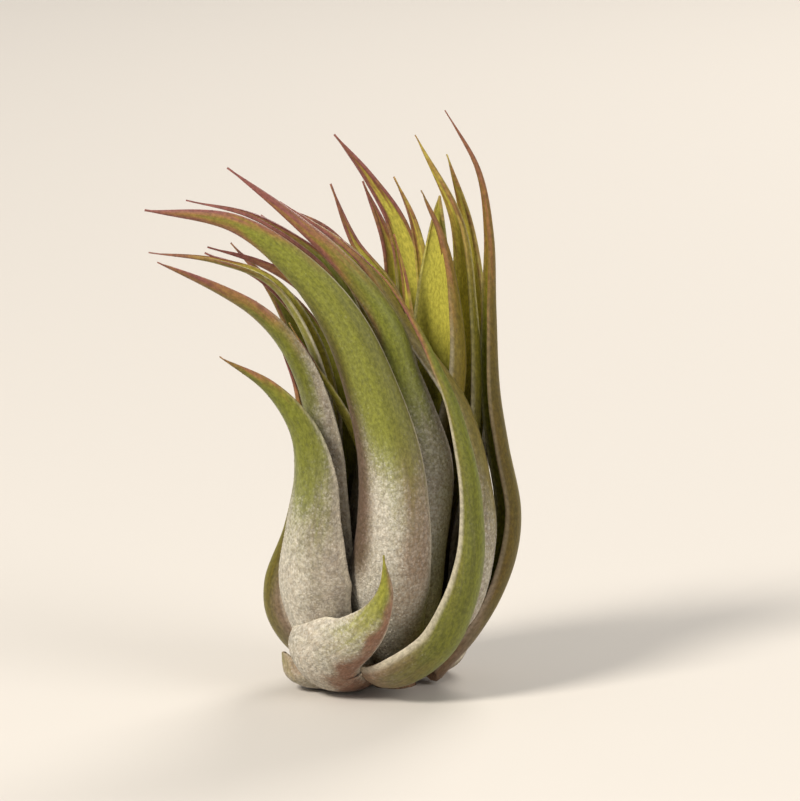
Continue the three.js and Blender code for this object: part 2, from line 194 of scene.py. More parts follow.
leaf("second_leaf_front", "second", -58, girth=9.6, width=8, green_from=32, lean=-4, brown=0.8,
     blush=1, red_from=0.53,
     blade=[(6.3, -7.4, 31.4), (4.1, -7.6, 39.1), (2, -7.6, 44.8), (0.4, -7.6, 50),
            (-2.2, -7.4, 54.5), (-7.8, -7, 61), (-14.8, -6.2, 66.8), (-22.2, -5.4, 72.1)])
leaf("second_leaf_right", "second", -8, girth=13.9, width=8.4, tint=-0.5,
     blade=[(13.3, -2.2, 27.4), (10, -2, 39.4), (2.4, -1.6, 50.1), (-4.3, -0.6, 59.4),
            (-15.3, 0.6, 66.6)])
# The next two leaves' tints, lime at their fullest, partly paint light shining through their thin
# blades.
leaf("second_leaf_right_back", "second", 30, width=8.6, full=0.44, silver=0.4, pale=0.1, tint=1,
     blush=0.4, red_from=0.5,
     blade=[(10.6, 6.4, 30), (11.4, 6.8, 40), (10.9, 6.5, 51.6), (9.2, 6, 63.2), (2.9, 6, 74.8)])
leaf("second_leaf_back_right", "second", 62, pale=0.1, tint=0.9, blush=0.5, red_from=0.55,
     blade=[(6.4, 9, 30.1), (6.2, 7.4, 41.8), (4.8, 6.6, 53.5), (2.8, 6.4, 63), (0, 6.5, 69)])
leaf("second_leaf_back", "second", 98, tint=0.1, blush=1,
     blade=[(-1, 9.6, 31.1), (-1.6, 8.6, 41.9), (-4, 7.6, 53.6), (-8.9, 6.8, 61.3),
            (-15.4, 6, 65.1)])
leaf("second_leaf_back_left", "second", 132, blush=1,
     blade=[(-7, 6.4, 30), (-8.2, 5.4, 38.8), (-11.9, 4.6, 48.5), (-17.8, 3.8, 55.3),
            (-25.6, 3, 59.1)])
leaf("second_leaf_left_back", "second", 170, tint=0.4, blush=0.7,
     blade=[(-9.9, 0.4, 29.7), (-9.7, -0.6, 37.5), (-11.8, -0.8, 47.3), (-16.7, -0.6, 55.2),
            (-23.6, -0.5, 58.2), (-33, -0.5, 59.7)])
leaf("third_leaf_front_left", "third", -118, green_from=24, tint=-0.3, blush=1.3, red_from=0.6,
     blade=[(-3.3, -5.4, 31.5), (-4.9, -4.4, 42.2), (-7.8, -4, 50), (-12.7, -4, 55.6),
            (-18.6, -3.7, 59), (-25, -3.5, 61)])
leaf("third_leaf_front_right", "third", -40, tint=-0.4, blush=1.3, red_from=0.6,
     blade=[(4.3, -3, 32.6), (1.6, -1.4, 43.3), (-3.5, -0.2, 52.1), (-10.4, 0.5, 59.7),
            (-17.9, 1.5, 64.6)])
leaf("third_leaf_right", "third", 8, width=8.4, full=0.5, silver=0.25, pale=0.1, tint=-0.5,
     stain=0.4, blush=0.5, red_from=0.6,
     blade=[(7.7, 1.4, 31.7), (9.7, 2, 42.5), (8.9, 2, 53.2), (7, 2, 61.3), (3.7, 2, 67.9)])
leaf("third_leaf_back_right", "third", 60, width=10.4, full=0.5, taper=0.7, fold=110, tint=0.3,
     blush=0.3, red_from=0.85,
     blade=[(5, 4.6, 32.8), (6.2, 4, 43.6), (6.2, 4, 53.4), (6.2, 4, 66.8)])
leaf("third_leaf_back", "third", 110, tint=0.2,
     blade=[(-0.4, 5, 32.9), (1, 4.2, 42.7), (-0.4, 4, 52.8), (-5.5, 4, 60.5), (-8.6, 4, 68.4)])
leaf("third_leaf_left", "third", 160, tint=-0.4, blush=1.3, red_from=0.6,
     blade=[(-4.8, 1.6, 32.7), (-5, 0.2, 42.5), (-6.2, -2, 51), (-9, -3.2, 57.6), (-14.1, -4, 62.2),
            (-19.6, -4.4, 65.4), (-27.8, -4, 67.4)])
leaf("heart_leaf_left", "heart", -160, tint=0.6, blush=0.6,
     blade=[(-5.3, -2.4, 33.6), (-8.3, -4.4, 40.5), (-10.8, -5.8, 45.1), (-14.1, -6.8, 51.3)])
leaf("heart_leaf_front", "heart", -60, tint=0.8, blush=0.5,
     blade=[(1, -1.4, 34.6), (-1, 0.6, 44.4), (-4.9, 1.6, 52.2), (-10.8, 2.4, 58.1)])
leaf("heart_leaf_back", "heart", 70, tint=0.7, blush=0.6,
     blade=[(1.4, 1.6, 34.7), (2.4, 2, 44.5), (1.6, 2, 55.2), (0, 2, 61.9)])


# ------------------------------------------------------------------ small helpers
def lerp(a, b, t):
    """From a, where t is 0, to b, where it is 1."""
    return a + (b - a) * t


def smooth(low, high, value):
    """0 up to low, 1 from high on, and an even rise between them."""
    t = min(1.0, max(0.0, (value - low) / (high - low)))
    return t * t * (3 - 2 * t)


def through(pair, value, start=0):
    """The same rise between a pair's two values, which are counted from start."""
    return smooth(start + pair[0], start + pair[1], value)


def srgb(red, green, blue):
    """A colour of 0 to 255 a channel as the linear values that shaders take."""
    def channel(value):
        value /= 255
        return value / 12.92 if value <= 0.04045 else ((value + 0.055) / 1.055) ** 2.4
    return channel(red), channel(green), channel(blue), 1


# ------------------------------------------------------------------ the line of a leaf
def rib_points(spec):
    """The midrib's control points: out of the stem, along the underside, round the belly, up."""
    turn = math.radians(spec["azimuth"])
    girth, root, belly = spec["girth"], spec["root"], spec["belly"]
    inner = min(STEM_RADIUS - ROOT_DEPTH, 0.3 * girth)

    def at(reach, height):
        """A point between the root, at reach 0, and the girth, at reach 1."""
        radius = lerp(inner, girth, reach)
        return radius * math.cos(turn), radius * math.sin(turn), height

    underside = at(0.35, root - 0.11 * girth)
    side = at(0.76, lerp(root, belly, 0.18))
    sheath = spec["sheath"] or [underside, side, at(1, belly)]
    return [Vector(p) for p in [at(0, root), *sheath, *spec["blade"]]]


def curve_through(points, steps=40):
    """A centripetal Catmull-Rom curve through the points, as many short steps."""
    ends = [2 * points[0] - points[1], *points, 2 * points[-1] - points[-2]]
    line = []
    for p0, p1, p2, p3 in zip(ends, ends[1:], ends[2:], ends[3:]):
        d0, d1, d2 = (math.sqrt((b - a).length) for a, b in ((p0, p1), (p1, p2), (p2, p3)))
        m1 = ((p1 - p0) / d0 - (p2 - p0) / (d0 + d1) + (p2 - p1) / d1) * d1
        m2 = ((p2 - p1) / d1 - (p3 - p1) / (d1 + d2) + (p3 - p2) / d2) * d1
        for i in range(steps):
            t = i / steps
            line.append(p1 + m1 * t + (3 * (p2 - p1) - 2 * m1 - m2) * t ** 2
                        + (2 * (p1 - p2) + m1 + m2) * t ** 3)
    return line + [points[-1]]


def evenly(line, count):
    """The line's points at equal distances, and its length."""
    lengths = [0.0]
    for a, b in zip(line, line[1:]):
        lengths.append(lengths[-1] + (b - a).length)
    result, i = [], 0
    for k in range(count + 1):
        want = lengths[-1] * k / count
        while i < len(line) - 2 and lengths[i + 1] < want:
            i += 1
        step = lengths[i + 1] - lengths[i]
        result.append(line[i].lerp(line[i + 1], (want - lengths[i]) / step))
    return result, lengths[-1]


# ------------------------------------------------------------------ the skin of a leaf
def width_at(share, spec):
    """Narrow where it leaves the stem, full at the sheath, then tapering to a fine tip."""
    neck, full = spec["neck"], spec["full"]
    sheath = neck + (1 - neck) * math.sin(min(1, share / full) * math.pi / 2)
    blade = (1 - max(0, share - full) / (1 - full)) ** spec["taper"]
    return max(TIP_WIDTH, spec["width"] * sheath * blade)


# How the finish is spread over a leaf. Across, 0 is the midrib and 1 a margin. A share is one of
# the leaf's length, and a run is in mm from its root. A pair is where a change starts and ends.
GREENING = (-5, 19)  # run, counted from green_from
MARGIN_LAG = 10  # how much higher than that it lies at the margins, in mm
MIDRIB_LEAD = 15  # how much lower it lies at the midrib than at the margins, in mm
FLANKS = (0.4, 1)  # across: the pale, scurfy edges of a blade
FLANKS_END = (0.5, 0.85)  # share
FLANK_PER_LEAN = 0.1  # less of them on the right and more on the left, for each mm of lean
FLANK_MOST = 1.5  # and how much of one there is at most
TIP_LEAD = 0.14  # the share of the length by which the margins redden before the midrib
TIP_EVEN = 0.35  # across, squared: where they redden at red_from
FOOT = (2, 15)  # run: the brown foot ends
DRY_EDGES = (0.6, 1)  # across: the brown edges of the sheath
EDGE_BROWN = 0.6  # how brown they are, as a share of the foot's brown
EDGE_LOST = 0.7  # the share of them that is gone where the blade is green
STAIN_IN, STAIN_OUT = (0.1, 0.5), (0.7, 0.95)  # across: the brown streak on the right side
STAIN_END = (26, 42)  # run
SCURF_THINS = (0.6, 0.9)  # share: towards the tip
SCURF_LOST = dict(green=0.88, tip=0.5, stain=0.75, dusk=0.6)  # the share that each takes away
INNER_SCURF = 0.4  # of the inner face, as a share of the outer face's
# Where the painted shade lies on a leaf's flanks.
PAINTED_SHADE_SIDES = (0.15, 0.55)  # across
PAINTED_SHADE_STARTS = (-3, 4)  # run, counted from dusk_from
PAINTED_SHADE_ENDS = (0.55, 0.85)  # share
RIM_LEAST, RIM_PER_PALE = 0.3, 2  # how clear the pale line along a margin is
RIM_FADES = (0.6, 0.85)  # share: it fades towards the tip
RIM_AT_TIP = 0.25
# How far the edges of these wander, and with how many waves along the leaf.
GREEN_WANDERS, FOOT_WANDERS = (3, 12), (5, 15)  # in mm
FLANK_WANDERS, DRY_EDGE_WANDERS = (0.1, 16), (0.2, 10)  # across
STAIN_WANDERS, PAINTED_SHADE_WANDERS = (0.3, 14), (0.1, 8)  # across
TIP_WANDERS = (0.06, 20)  # share


def leaf_looks(spec, a, face, run, share, waver):
    """What the finish reads at one spot of a leaf: how green, reddened, brown and scurfy it is, how
    much painted shade darkens it, and how pale its rim."""
    def wander(size, waves, side=a):
        return size * waver(side, share, waves)

    drift = wander(*GREEN_WANDERS, side=2 * a) + MIDRIB_LEAD * (1 - a * a) - MARGIN_LAG
    drift += spec["lean"] * a
    flank = through(FLANKS, abs(a) + wander(*FLANK_WANDERS)) * (1 - through(FLANKS_END, share))
    flank *= spec["pale"] * min(FLANK_MOST, 1 - FLANK_PER_LEAN * spec["lean"] * a)
    green = through(GREENING, run + drift, spec["green_from"]) * (1 - flank)

    lead = wander(*TIP_WANDERS) + TIP_LEAD * (a * a - TIP_EVEN)
    tip = smooth(spec["red_from"], 1, share + lead) * spec["blush"]

    foot = 1 - through(FOOT, run + wander(*FOOT_WANDERS))
    edge = through(DRY_EDGES, abs(a) + wander(*DRY_EDGE_WANDERS)) * (1 - EDGE_LOST * green)
    stain = through(STAIN_IN, a + wander(*STAIN_WANDERS)) * (1 - through(STAIN_OUT, a))
    stain *= spec["stain"] * (1 - through(STAIN_END, run))
    brown = min(1, spec["brown"] * max(foot, EDGE_BROWN * edge) + stain)

    # Painted shade on the flanks, where neighbouring leaves shade them: it darkens the colour and
    # thins the scurf.
    sides = through(PAINTED_SHADE_SIDES, abs(a) + wander(*PAINTED_SHADE_WANDERS))
    dusk = spec["dusk"][a > 0] * sides * (1 - through(PAINTED_SHADE_ENDS, share)) * (face > 0)
    dusk *= through(PAINTED_SHADE_STARTS, run, spec["dusk_from"])

    scurf = max(spec["silver"] * (1 - SCURF_LOST["green"] * green ** 2), flank)
    scurf *= 1 - SCURF_LOST["tip"] * through(SCURF_THINS, share)
    scurf *= 1 - SCURF_LOST["stain"] * stain
    if face < 0:
        scurf *= INNER_SCURF
    # Painted shade thins the scurf, too.
    scurf *= 1 - SCURF_LOST["dusk"] * dusk

    rim = min(1, RIM_LEAST + RIM_PER_PALE * spec["pale"])
    rim *= lerp(1, RIM_AT_TIP, through(RIM_FADES, share))
    return green, tip, brown, scurf, dusk, rim


def skin_faces(ring):
    """The faces of a skin with so many points round it, and their corners on the bake's map."""
    faces, unwrapped = [], []
    for i in range(SECTIONS):
        for j in range(ring):
            k = (j + 1) % ring
            faces.append((i * ring + j, i * ring + k, (i + 1) * ring + k, (i + 1) * ring + j))
            u, v = j / ring, i / SECTIONS
            next_u, next_v = u + 1 / ring, v + 1 / SECTIONS
            unwrapped += [u, v, next_u, v, next_u, next_v, u, next_v]
    last = SECTIONS * ring
    faces.append(tuple(reversed(range(ring))))
    faces.append(tuple(last + j for j in range(ring)))
    for v in (0.0, 1.0):  # the ends, hidden or as fine as a needle, take the colour beside them
        for j in range(ring):
            turn = 2 * math.pi * j / ring
            across, along = END_SIZE * math.cos(turn), END_SIZE * (1 + math.sin(turn))
            unwrapped += [0.25 + across, abs(v - along)]
    return faces, unwrapped


def leaf_mesh(name, spec, seed):
    """A leaf's closed skin, in metres, with the values that its finish reads at each vertex."""
    rib, length = evenly(curve_through(rib_points(spec)), SECTIONS)
    ring = 2 * ACROSS - 2  # the two faces share their end points, at the margins
    spots = []  # across and face, 1 outside and -1 inside, round the section
    for j in range(ring):
        outer = j < ACROSS
        step = j if outer else ring - j
        a = math.sin((step / (ACROSS - 1) - 0.5) * math.pi)
        spots.append((a, 1 if outer else -1))

    def waver(side, share, waves):
        """An uneven value round 0, with so many waves along the leaf, and its own on each side."""
        return noise.noise(Vector((share * waves, side * SIDES_APART, seed * LEAVES_APART)))

    verts, places, looks = [], [], []
    outward = Vector((0, 0, -1))
    for i, point in enumerate(rib):
        share = i / SECTIONS
        along = (rib[min(i + 1, SECTIONS)] - rib[max(i - 1, 0)]).normalized()
        outward = (outward - along * outward.dot(along)).normalized()
        sideways = along.cross(outward)
        chord = width_at(share, spec)
        half = math.radians(lerp(spec["fold"], TIP_FOLD, share ** TIP_FOLD_POWER)) / 2
        radius = chord / (2 * math.sin(half))
        midrib = lerp(TIP_THICKNESS, BLADE_THICKNESS, min(1, chord / BLADE_WIDTH))
        for a, face in spots:
            wall = min(lerp(midrib, min(MARGIN_THICKNESS, midrib), a * a), 0.8 * radius)
            edge = max(0, abs(a) - ROUND_FROM) / (1 - ROUND_FROM)
            body = 0.5 * wall * math.sqrt(max(0, 1 - edge * edge))
            curl = CURL * radius * smooth(CURL_FROM, 1, abs(a))
            curl *= 1 + waver(math.copysign(1, a), share, 9)
            reach = radius - 0.5 * wall - curl + face * body
            angle = a * half * (1 + FOLD_WAVER * waver(math.copysign(2, a), share, 6))
            out, aside = reach * math.cos(angle) - radius, reach * math.sin(angle)
            spot = point + outward * out + sideways * aside
            spot.z = max(spot.z, GROUND_GAP)
            verts.append(spot * MM)
            run = share * length
            places.extend((a * half * radius, run, seed * PATTERNS_APART))
            # On the inner face the tint gets painted_glow on top: painted light shining through the
            # blade.
            tint = spec["tint"] + (spec["painted_glow"] if face < 0 else 0)
            looks.append((a, 0.5 - 0.5 * face, tint, *leaf_looks(spec, a, face, run, share, waver)))

    faces, unwrapped = skin_faces(ring)
    mesh = bpy.data.meshes.new(name)
    mesh.from_pydata(verts, [], faces)
    mesh.shade_smooth()
    for label, values in zip(LOOKS, zip(*looks)):
        mesh.attributes.new(label, "FLOAT", "POINT").data.foreach_set("value", values)
    mesh.attributes.new("place", "FLOAT_VECTOR", "POINT").data.foreach_set("vector", places)
    mesh.uv_layers.new(name=BAKE_MAP).uv.foreach_set("vector", unwrapped)
    return mesh


# ------------------------------------------------------------------ node tools
class Nodes:
    """Adds nodes to a tree and joins them, in reading order."""

    def __init__(self, tree):
        self.tree = tree

    def add(self, kind, settings=None, **inputs):
        """A node with its settings and, by name, what goes into it."""
        node = self.tree.nodes.new(kind)
        for key, value in (settings or {}).items():
            setattr(node, key, value)
        for key, value in inputs.items():
            self.feed(node.inputs[key.replace("_", " ")], value)
        return node

    def feed(self, socket, value):
        """Joins another node's output to a socket, or sets the socket to a value."""
        if isinstance(value, bpy.types.NodeSocket):
            self.tree.links.new(value, socket)
        else:
            socket.default_value = value

    def math(self, operation, a, b=None, clamp=False):
        node = self.add("ShaderNodeMath", dict(operation=operation, use_clamp=clamp))
        self.feed(node.inputs[0], a)
        if b is not None:
            self.feed(node.inputs[1], b)
        return node.outputs[0]

    def times(self, a, b, clamp=False):
        return self.math("MULTIPLY", a, b, clamp)

    def plus(self, a, b, clamp=False):
        return self.math("ADD", a, b, clamp)

    def remap(self, value, low, high, to_low=0.0, to_high=1.0):
        """Rises evenly between two values, from to_low to to_high."""
        node = self.add("ShaderNodeMapRange", dict(interpolation_type="SMOOTHSTEP"))
        for socket, number in zip(node.inputs, (value, low, high, to_low, to_high)):
            self.feed(socket, number)
        return node.outputs[0]

    def mix(self, share, a, b, blend="MIX"):
        node = self.add("ShaderNodeMix", dict(data_type="RGBA", blend_type=blend))
        for socket, value in ((node.inputs[0], share), (node.inputs[6], a), (node.inputs[7], b)):
            self.feed(socket, value)
        return node.outputs[2]

    def stretch(self, vector, scale):
        node = self.add("ShaderNodeVectorMath", dict(operation="MULTIPLY"))
        self.feed(node.inputs[0], vector)
        self.feed(node.inputs[1], scale)
        return node.outputs[0]

    def attribute(self, name, output="Fac"):
        return self.add("ShaderNodeAttribute", dict(attribute_name=name)).outputs[output]

    def noise(self, vector, scale, detail=2.0, roughness=0.5):
        node = self.add("ShaderNodeTexNoise", Vector=vector, Scale=scale, Detail=detail,
                        Roughness=roughness)
        return node.outputs["Fac"]


def group(name, kind, inputs, outputs):
    """A node group with named sockets. Each input is (name, type, default)."""
    tree = bpy.data.node_groups.new(name, kind)
    for label, socket_type, default in inputs:
        socket = tree.interface.new_socket(name=label, in_out="INPUT", socket_type=socket_type)
        if default is not None:
            socket.default_value = default
    for label, socket_type in outputs:
        tree.interface.new_socket(name=label, in_out="OUTPUT", socket_type=socket_type)
    n = Nodes(tree)
    return tree, n, n.add("NodeGroupInput").outputs, n.add("NodeGroupOutput").inputs


# ------------------------------------------------------------------ shared effects
def grain_of_scurf():
    """Fine scales lying on the skin: a mask of pale flecks, more of them where coverage is high,
    with their height and each one's own tone. Fleck is the size of one."""
    tree, n, given, result = group(
        "scurf grain", "ShaderNodeTree",
        [("Place", "NodeSocketVector", None), ("Coverage", "NodeSocketFloat", 0.5),
         ("Fleck", "NodeSocketFloat", 0.4)],
        [("Mask", "NodeSocketFloat"), ("Height", "NodeSocketFloat"), ("Tone", "NodeSocketFloat")])
    own, patchy = 0.55, 0.7  # what a fleck's own tone and its patch count for
    on_bare_skin, in_full_scurf = 1.0, 0.28  # what they have to come to, for a fleck to be there
    faint, whole = -0.16, 0.2  # and by how much they pass that where it is faint, and where whole
    centre, border = 0.25, 0.75  # of a fleck's shield, as shares of its size
    ground = 0.25  # how much of the mask is left beyond the shield

    per_mm = n.math("DIVIDE", 1.0, given["Fleck"])
    flecks = n.add("ShaderNodeTexVoronoi", dict(feature="F1"), Vector=given["Place"], Scale=per_mm,
                   Randomness=1.0)
    patch = n.noise(given["Place"], n.times(per_mm, 0.42), 3.0, 0.65)
    tone = n.add("ShaderNodeSeparateColor", Color=flecks.outputs["Color"]).outputs[0]
    chance = n.plus(n.times(tone, own), n.times(patch, patchy))
    threshold = n.remap(given["Coverage"], 0.0, 1.0, on_bare_skin, in_full_scurf)
    present = n.remap(n.math("SUBTRACT", chance, threshold), faint, whole)
    shield = n.remap(flecks.outputs["Distance"], centre, border, 1.0, 0.0)
    mask = n.times(present, n.plus(n.times(shield, 1 - ground), ground), clamp=True)
    n.feed(result["Mask"], mask)
    n.feed(result["Height"], n.times(present, shield))
    n.feed(result["Tone"], tone)
    return tree


def parallel_veins():
    """Faint lines that run the length of a blade, as a value round 0.5."""
    tree, n, given, result = group(
        "parallel veins", "ShaderNodeTree",
        [("Place", "NodeSocketVector", None), ("Lines per mm", "NodeSocketFloat", 1.2)],
        [("Value", "NodeSocketFloat")])
    drawn_out = (1.0, 0.035, 1.0)  # along the blade
    broad_share, fine_share = 0.6, 0.4
    finer = 3.2  # times as many fine lines
    lines = n.stretch(given["Place"], drawn_out)
    broad = n.noise(lines, given["Lines per mm"], 2.0, 0.6)
    fine = n.noise(lines, n.times(given["Lines per mm"], finer), 1.0, 0.5)
    n.feed(result["Value"], n.plus(n.times(broad, broad_share), n.times(fine, fine_share)))
    return tree


def trichome_coat():
    """Geometry Nodes: scatters low, tilted scales over a leaf, densest where its scurf is."""
    tree, n, given, result = group(
        "trichome coat", "GeometryNodeTree",
        [("Leaf", "NodeSocketGeometry", None),
         ("Scales per mm2", "NodeSocketFloat", SCALES_PER_MM2),
         ("Scale radius", "NodeSocketFloat", SCALE_RADIUS * MM),
         ("Scale height", "NodeSocketFloat", SCALE_HEIGHT * MM),
         ("Seed", "NodeSocketInt", 1), ("Skin", "NodeSocketMaterial", None)],
        [("Coated leaf", "NodeSocketGeometry")])
    scurf = n.add("GeometryNodeInputNamedAttribute", dict(data_type="FLOAT"), Name="scurf")
    share = n.math("POWER", scurf.outputs[0], SCALES_THIN_OUT)
    per_m2 = n.times(n.times(given["Scales per mm2"], 1 / MM ** 2), share)
    points = n.add("GeometryNodeDistributePointsOnFaces", dict(distribute_method="RANDOM"),
                   Mesh=given["Leaf"], Density=per_m2, Seed=given["Seed"])
    scale = n.add("GeometryNodeMeshCone", dict(fill_type="NGON"), Vertices=SCALE_SIDES,
                  Side_Segments=1, Radius_Top=0.0, Radius_Bottom=given["Scale radius"],
                  Depth=given["Scale height"])
    tilt = n.add("FunctionNodeRandomValue", dict(data_type="FLOAT_VECTOR"), Seed=given["Seed"])
    tilt.inputs["Min"].default_value = (-SCALE_TILT, -SCALE_TILT, 0.0)
    tilt.inputs["Max"].default_value = (SCALE_TILT, SCALE_TILT, 2 * math.pi)
    turned = n.add("FunctionNodeRotateRotation", dict(rotation_space="LOCAL"),
                   Rotation=points.outputs["Rotation"], Rotate_By=tilt.outputs[0])
    size = n.add("FunctionNodeRandomValue", dict(data_type="FLOAT"))
    for label, value in zip(("Min", "Max"), SCALE_SIZES):
        next(s for s in size.inputs if s.name == label and s.enabled).default_value = value
    n.feed(size.inputs["Seed"], given["Seed"])
    size_out = next(s for s in size.outputs if s.enabled)
    placed = n.add("GeometryNodeInstanceOnPoints", Points=points.outputs["Points"],
                   Instance=scale.outputs["Mesh"], Rotation=turned.outputs[0], Scale=size_out)
    marked = n.add("GeometryNodeStoreNamedAttribute", dict(data_type="FLOAT", domain="INSTANCE"),
                   Geometry=placed.outputs[0], Name="trichome", Value=size_out)
    both = n.add("GeometryNodeJoinGeometry")
    for part in (marked.outputs[0], given["Leaf"]):
        tree.links.new(part, both.inputs[0])
    whole = n.add("GeometryNodeRealizeInstances", Geometry=both.outputs[0])
    skin = n.add("GeometryNodeSetMaterial", Geometry=whole.outputs[0], Material=given["Skin"])
    n.feed(result["Coated leaf"], skin.outputs[0])
    return tree


# ------------------------------------------------------------------ materials
CLOUDED_SHEATH = srgb(132, 124, 92)
DRY_BROWN = srgb(128, 86, 60)
BRONZE, OLIVE, LIME = srgb(122, 84, 33), srgb(110, 114, 20), srgb(202, 192, 80)
DEEP_GREEN = srgb(78, 80, 24)  # between a blade's veins
OCHRE, MAUVE = srgb(138, 100, 50), srgb(126, 74, 66)  # of a tip where it reddens, and its end
INNER_BROWN = srgb(104, 84, 72)  # of a sheath's inner face
SCURF_GREY, SCURF_WHITE = srgb(178, 171, 156), srgb(206, 201, 188)
RIM_CREAM, SCALE_CREAM = srgb(208, 200, 178), srgb(216, 208, 190)
PAINTED_SHADE_COLOUR = srgb(166, 148, 144)  # painted shade: what a shaded flank's colours are multiplied by
STEM_BROWN, STEM_FIBRE = srgb(74, 50, 34), srgb(150, 118, 86)
FLOOR_COLOUR = srgb(204, 198, 190)

SKINS = {  # for each slot the finish's name, its sheath's colour and how rough it is when bare
    "basal_leaf": ("basal leaf skin", srgb(158, 136, 112), 0.6),
    "outer_leaf": ("outer leaf skin", srgb(144, 128, 104), 0.5),
    "inner_leaf": ("inner leaf skin", srgb(126, 108, 88), 0.45),
}
SCURFY_ROUGHNESS = 0.85
LEAF_SHINE = 0.22
FUZZ, FUZZ_ROUGHNESS = 0.05, 0.45  # the sheen of the finest scales
# A pair is where a colour starts to show and where it is full, in the value that it follows.
CLOUDED = (0.3, 0.7)
GREEN_SHOWS = (0.1, 0.9)
VEINS_SHOW = (0.36, 0.6)
OCHRE_SHOWS, MAUVE_SHOWS = (0.05, 0.6), (0.35, 0.95)
RIM_SHOWS = (0.84, 0.95)
STREAKY_GREEN = 0.9  # how far the veins draw the green's edge out into streaks
DEEP_IN_OLIVE, DEEP_IN_LIME = 0.32, 0.1  # how much deep green there is between the veins
INNER_SHADE = 0.6  # how brown a sheath's inner face is
CLOUDS_PER_MM, MOTTLES_PER_MM = 0.3, 2.4
MOTTLE_STRETCH = (1.0, 0.6, 1.0)  # a little along the leaf
SHEATH_MOTTLE, BLADE_MOTTLE = (0.7, 1.25), (0.68, 1.2)  # how dark and how light it makes them
FLECK_SIZE, DUST_SIZE = 0.34, 0.2  # in mm
DUST_COVERAGE, DUST_STRENGTH = 0.9, 0.8  # as shares of the flecks'
HAZE = 0.46  # how much full scurf veils the skin even between its flecks
GRAIN_LEAST, GRAIN_PER_HAZE = 0.1, 0.8  # how clear the flecks are, and how much more in the haze
SCALE_PALENESS = 0.3  # how much paler a scale that stands up is, where the scurf is full
RELIEF = 0.12  # in mm
FLECK_RELIEF, DUST_RELIEF, VEIN_RELIEF = 0.5, 0.25, 0.8  # how high each stands, as a share of that


def new_material(name):
    """A material with its node tools and its shader."""
    material = bpy.data.materials.new(name)
    material.use_nodes = True
    return material, Nodes(material.node_tree), material.node_tree.nodes["Principled BSDF"]


def bare_tissue(n, place, sheath, green, streaks):
    """The leaf's colour: a sheath that browns at its foot and edges, the blade and the tip. On the
    inner face the tint also carries the painted glow of light shining through the blade.
    """
    tint, tip = n.attribute("tint"), n.attribute("tip")
    cloud = n.noise(place, CLOUDS_PER_MM, 3.0, 0.6)
    tissue = n.mix(n.remap(cloud, *CLOUDED), sheath, CLOUDED_SHEATH)

    blade = n.mix(n.remap(tint, -1.0, 0.0), BRONZE, OLIVE)
    blade = n.mix(n.remap(tint, 0.0, 1.0), blade, LIME)
    deep = n.remap(tint, 0.0, 1.0, DEEP_IN_OLIVE, DEEP_IN_LIME)
    blade = n.mix(n.remap(streaks, *VEINS_SHOW), n.mix(deep, blade, DEEP_GREEN), blade)
    tissue = n.mix(green, tissue, blade)

    dry = n.times(n.attribute("brown"), n.remap(cloud, 0.25, 0.6, 0.5, 1.2), clamp=True)
    tissue = n.mix(dry, tissue, DRY_BROWN)
    flush = n.times(tip, n.remap(streaks, 0.3, 0.7, 0.5, 1.5))
    tissue = n.mix(n.remap(flush, *OCHRE_SHOWS), tissue, OCHRE)
    tissue = n.mix(n.remap(flush, *MAUVE_SHOWS), tissue, MAUVE)
    inner_sheath = n.times(n.attribute("inner"), n.math("SUBTRACT", 1.0, green))
    return n.mix(n.times(inner_sheath, INNER_SHADE), tissue, INNER_BROWN)


def silvered(n, place, tissue, grains):
    """The tissue with its scurf: flecks and dust in a haze, a pale line along the margins and the
    scales that stand up. The colour, how thick the coat is and how high it stands."""
    scurf = n.attribute("scurf")
    flecks = n.add("ShaderNodeGroup", dict(node_tree=grains), Place=place, Fleck=FLECK_SIZE,
                   Coverage=scurf)
    dust = n.add("ShaderNodeGroup", dict(node_tree=grains), Place=place, Fleck=DUST_SIZE,
                 Coverage=n.times(scurf, DUST_COVERAGE))
    dust_mask = n.times(dust.outputs["Mask"], DUST_STRENGTH)
    grain = n.math("MAXIMUM", flecks.outputs["Mask"], dust_mask)
    haze = n.times(scurf, HAZE)
    clearness = n.plus(GRAIN_LEAST, n.times(haze, GRAIN_PER_HAZE))
    coat = n.plus(haze, n.times(grain, clearness), clamp=True)
    silver = n.mix(flecks.outputs["Tone"], SCURF_GREY, SCURF_WHITE)
    colour = n.mix(coat, tissue, silver)

    across = n.math("ABSOLUTE", n.attribute("across"))
    away_from_tip = n.remap(n.attribute("tip"), 0.0, 0.5, 0.7, 0.08)
    rim = n.times(n.times(n.remap(across, *RIM_SHOWS), away_from_tip), n.attribute("rim"))
    colour = n.mix(rim, colour, RIM_CREAM)
    on_scale = n.remap(n.attribute("trichome"), 0.0, 0.3)
    colour = n.mix(n.times(on_scale, n.times(scurf, SCALE_PALENESS)), colour, SCALE_CREAM)

    height = n.plus(n.times(flecks.outputs["Height"], FLECK_RELIEF),
                    n.times(dust.outputs["Height"], DUST_RELIEF))
    return colour, coat, height


